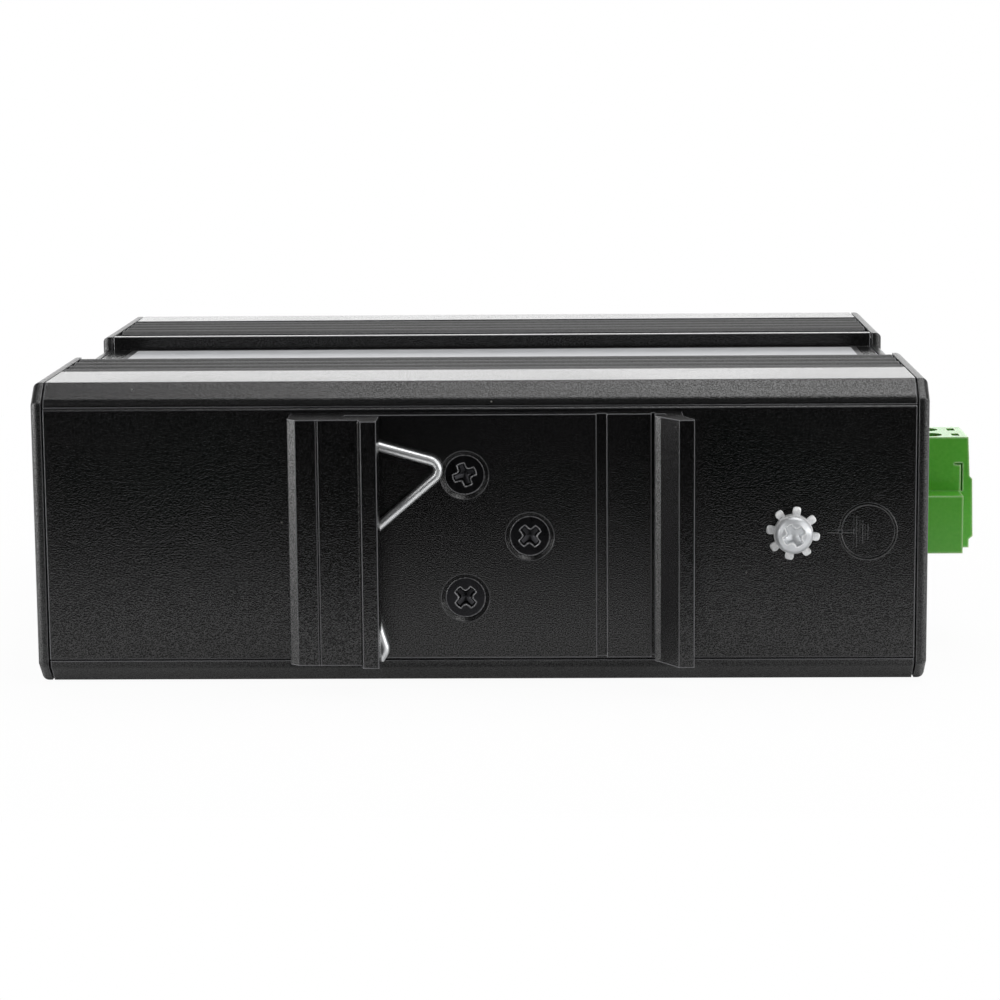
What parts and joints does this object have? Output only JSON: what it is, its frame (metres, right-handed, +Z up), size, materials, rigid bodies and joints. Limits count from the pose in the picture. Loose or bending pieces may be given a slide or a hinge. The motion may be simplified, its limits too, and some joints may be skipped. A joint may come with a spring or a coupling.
{
  "type": "din rail ethernet switch",
  "caption": "Flat black metal network switch with a rail bracket and sprung wire latch on its rear, network ports on its front and a screw terminal plug on one end.",
  "frame": {"origin": "middle of the whole object's footprint, on the plane of the lower side that it lies on", "axes": "+X along the housing towards the power plug, +Y from the rail side to the port side, +Z up through the two ribbed sides"},
  "size_m": [0.1186, 0.1006, 0.0374],
  "materials": {
    "black_powder_coat": "fine textured powder coat",
    "black_bracket": "satin powder coat",
    "black_screw": "blackened",
    "zinc_steel": "zinc plated",
    "spring_steel": "bright drawn wire",
    "label_film": "satin film",
    "board": "solder mask",
    "brass_pillar": "turned",
    "tinned_steel": "tin plated",
    "black_moulding": "moulded",
    "gold_contact": "gold plated",
    "clear_pipe": "clear moulding",
    "green_moulding": "moulded",
    "chip": "moulded",
    "pad": "soft",
    "can": "drawn can",
    "ferrite": "pressed"
  },
  "bodies": {
    "root": {"upper_side_extrusion": "black_powder_coat", "lower_side_extrusion": "black_powder_coat", "rear_panel": "black_powder_coat", "front_panel": "black_powder_coat", "terminal_end_plate": "black_powder_coat", "plain_end_plate": "black_powder_coat", "din_rail_bracket": "black_bracket", "terminal_end_screws": "black_screw", "plain_end_screws": "black_screw", "bracket_screws": "black_screw", "earth_screw": "zinc_steel", "earth_lock_washer": "zinc_steel", "board_screws": "zinc_steel", "plug_clamp_screws": "zinc_steel", "plug_flange_screws": "zinc_steel", "plug_wire_clamps": "zinc_steel", "rail_spring_wire": "spring_steel", "type_label": "label_film", "main_circuit_board": "board", "board_standoffs": "brass_pillar", "port_1_shield": "tinned_steel", "port_1_insert": "black_moulding", "port_1_contacts": "gold_contact", "port_2_shield": "tinned_steel", "port_2_insert": "black_moulding", "port_2_contacts": "gold_contact", "port_3_shield": "tinned_steel", "port_3_insert": "black_moulding", "port_3_contacts": "gold_contact", "port_4_shield": "tinned_steel", "port_4_insert": "black_moulding", "port_4_contacts": "gold_contact", "port_5_shield": "tinned_steel", "port_5_insert": "black_moulding", "port_5_contacts": "gold_contact", "port_light_pipes": "clear_pipe", "power_light": "clear_pipe", "power_light_holder": "black_moulding", "power_header": "green_moulding", "power_plug_body": "green_moulding", "power_header_pins": "tinned_steel", "plug_contacts": "tinned_steel", "switch_chip": "chip", "port_transformers": "chip", "supply_regulator": "chip", "chip_heat_pad": "pad", "supply_capacitors": "can", "clock_crystal": "can", "supply_inductor": "ferrite"}
  },
  "joints": []
}
